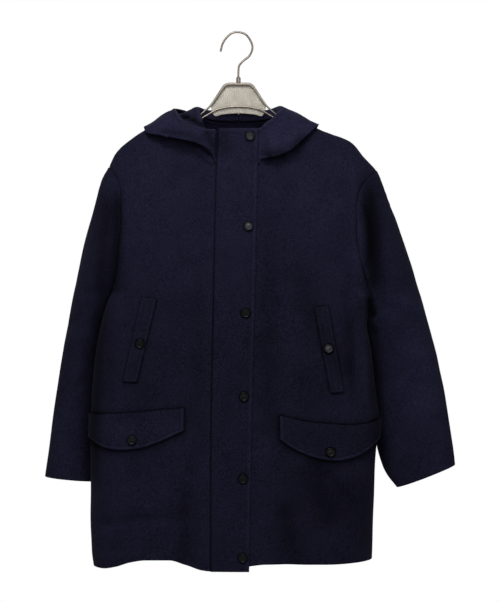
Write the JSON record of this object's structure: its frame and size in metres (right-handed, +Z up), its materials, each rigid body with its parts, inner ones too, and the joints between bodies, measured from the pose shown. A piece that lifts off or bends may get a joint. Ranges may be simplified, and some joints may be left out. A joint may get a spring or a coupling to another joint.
{
  "type": "hooded parka on a hanger",
  "caption": "Navy wool hooded parka with a snap placket, welt and flap pockets, hanging on a wire hanger with a ribbed plate.",
  "frame": {"origin": "top of the inside of the hanger's hook, where a rail carries it", "axes": "+Z up, the front of the coat faces -Y, +X to the viewer's right"},
  "size_m": [0.788, 0.2005, 1.0168],
  "materials": {
    "wool": "matte",
    "snap": "satin",
    "wire": "polished",
    "plate": "satin"
  },
  "bodies": {
    "root": {"front_right": "wool", "front_left": "wool", "back": "wool", "sleeve_right": "wool", "sleeve_left": "wool", "hood_right": "wool", "hood_left": "wool", "placket": "wool", "welt_right": "wool", "welt_left": "wool", "flap_right": "wool", "flap_left": "wool", "snap_placket_1": "snap", "snap_placket_2": "snap", "snap_placket_3": "snap", "snap_placket_4": "snap", "snap_placket_5": "snap", "snap_placket_6": "snap", "snap_welt_right": "snap", "snap_welt_left": "snap", "snap_flap_right": "snap", "snap_flap_left": "snap", "hanger_wire": "wire", "hanger_hook": "wire", "hanger_collar": "wire", "hanger_plate": "plate"}
  },
  "joints": []
}
